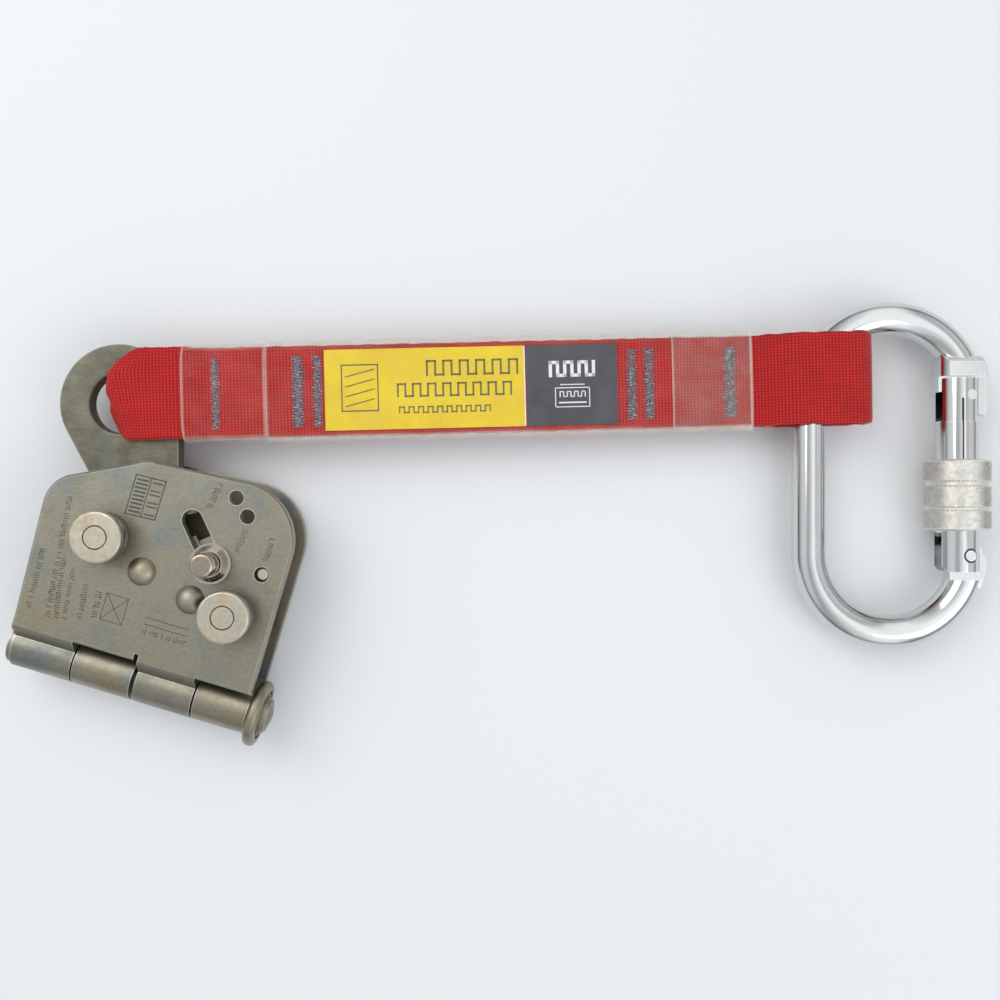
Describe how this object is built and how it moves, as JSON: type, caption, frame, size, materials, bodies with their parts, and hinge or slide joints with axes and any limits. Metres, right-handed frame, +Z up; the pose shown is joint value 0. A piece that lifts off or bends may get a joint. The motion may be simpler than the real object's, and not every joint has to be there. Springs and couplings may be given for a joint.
{
  "type": "rope grab",
  "caption": "Hinged steel rope grab with a toothed cam lever, push buttons and slide latch, on a short red webbing lanyard with a screw-gate oval carabiner.",
  "frame": {"origin": "centre of the set's footprint, at the surface it lies on", "axes": "+X along the lanyard from the grab to the carabiner, +Z up out of the grab's front plate"},
  "size_m": [0.3004, 0.136, 0.036],
  "materials": {
    "satin_stainless": "satin, stained",
    "polished_stainless": "polished",
    "turned_stainless": "turned",
    "spring_steel": "drawn wire",
    "tinted_spring_steel": "straw tint",
    "blasted_steel": "bead blasted",
    "bronze": "plain",
    "red_webbing": "ribbed polyester",
    "grey_thread": "matte",
    "clear_pvc": "clear, hazy",
    "yellow_label": "printed",
    "grey_label": "printed",
    "bright_zinc": "bright zinc plate",
    "knurled_zinc": "matte knurled zinc"
  },
  "bodies": {
    "case": {"back_plate": "satin_stainless", "hinge_pin": "polished_stainless", "hinge_flange": "polished_stainless", "hinge_end_washer": "polished_stainless", "lever_axle": "satin_stainless", "guide_post": "satin_stainless", "latch_keeper": "satin_stainless", "locating_dowel": "satin_stainless", "lever_stop_pin": "satin_stainless", "spring_anchor_pin": "satin_stainless", "lever_spring": "spring_steel", "rope_anvil": "satin_stainless", "anvil_rivets": "polished_stainless"},
    "cover": {"front_plate": "satin_stainless", "guide_rivets": "polished_stainless", "latch_guide": "satin_stainless", "button_collar_1": "turned_stainless", "button_collar_2": "turned_stainless", "button_spring_1": "tinted_spring_steel", "button_spring_2": "tinted_spring_steel"},
    "button_1": {"button_cap_1": "turned_stainless", "button_pin_1": "turned_stainless"},
    "button_2": {"button_cap_2": "turned_stainless", "button_pin_2": "turned_stainless"},
    "latch": {"latch_slider": "turned_stainless", "latch_spacer": "turned_stainless", "latch_knob": "polished_stainless", "latch_stud": "polished_stainless"},
    "lever": {"lever": "blasted_steel", "lever_bush": "bronze", "spring_peg": "blasted_steel"},
    "strap": {"webbing": "red_webbing", "stitching": "grey_thread", "left_sleeve": "clear_pvc", "long_sleeve": "clear_pvc", "right_sleeve": "clear_pvc", "instruction_label": "yellow_label", "rating_label": "grey_label"},
    "carabiner": {"carabiner_body": "bright_zinc", "gate_rivet": "bright_zinc"},
    "gate": {"gate": "bright_zinc", "gate_cross_pin": "bright_zinc", "gate_plunger": "bright_zinc", "gate_spring": "spring_steel"},
    "screw_sleeve": {"screw_sleeve": "knurled_zinc"}
  },
  "joints": [
    {"name": "cover_hinge", "type": "hinge", "parent": "case", "child": "cover", "pos_m": [-0.11246, -0.04691, 0.01375], "axis": [0.9578, -0.2874, 0], "range_deg": [0, 160]},
    {"name": "button_1_push", "type": "slide", "parent": "cover", "child": "button_1", "axis": [0, 0, -1], "range_m": [0, 0.0018], "stiffness_N_per_m": 800, "springref_m": -0.004, "deforming": ["button_spring_1"]},
    {"name": "button_2_push", "type": "slide", "parent": "cover", "child": "button_2", "axis": [0, 0, -1], "range_m": [0, 0.0018], "stiffness_N_per_m": 800, "springref_m": -0.004, "deforming": ["button_spring_2"]},
    {"name": "latch_slide", "type": "slide", "parent": "cover", "child": "latch", "axis": [-0.4115, 0.9114, 0], "range_m": [0, 0.012]},
    {"name": "lever_pivot", "type": "hinge", "parent": "case", "child": "lever", "pos_m": [-0.11721, -0.00393, 0.01375], "axis": [0, 0, 1], "range_deg": [0, 22], "stiffness_Nm_per_rad": 0.05, "springref_deg": -17.19},
    {"name": "strap_swing", "type": "hinge", "parent": "lever", "child": "strap", "pos_m": [-0.11605, 0.03612, 0.01375], "axis": [0, 0, 1], "range_deg": [-8, 120]},
    {"name": "carabiner_swing", "type": "hinge", "parent": "strap", "child": "carabiner", "pos_m": [0.11907, 0.03842, 0.00975], "axis": [0, 0, 1], "range_deg": [-3, 60]},
    {"name": "gate_hinge", "type": "hinge", "parent": "carabiner", "child": "gate", "pos_m": [0.14206, -0.01008, 0.00975], "axis": [0, 0, 1], "range_deg": [0, 18], "stiffness_Nm_per_rad": 0.08, "springref_deg": -28.65},
    {"name": "sleeve_slide", "type": "slide", "parent": "gate", "child": "screw_sleeve", "axis": [0, 1, 0], "range_m": [0, 0.015]}
  ]
}
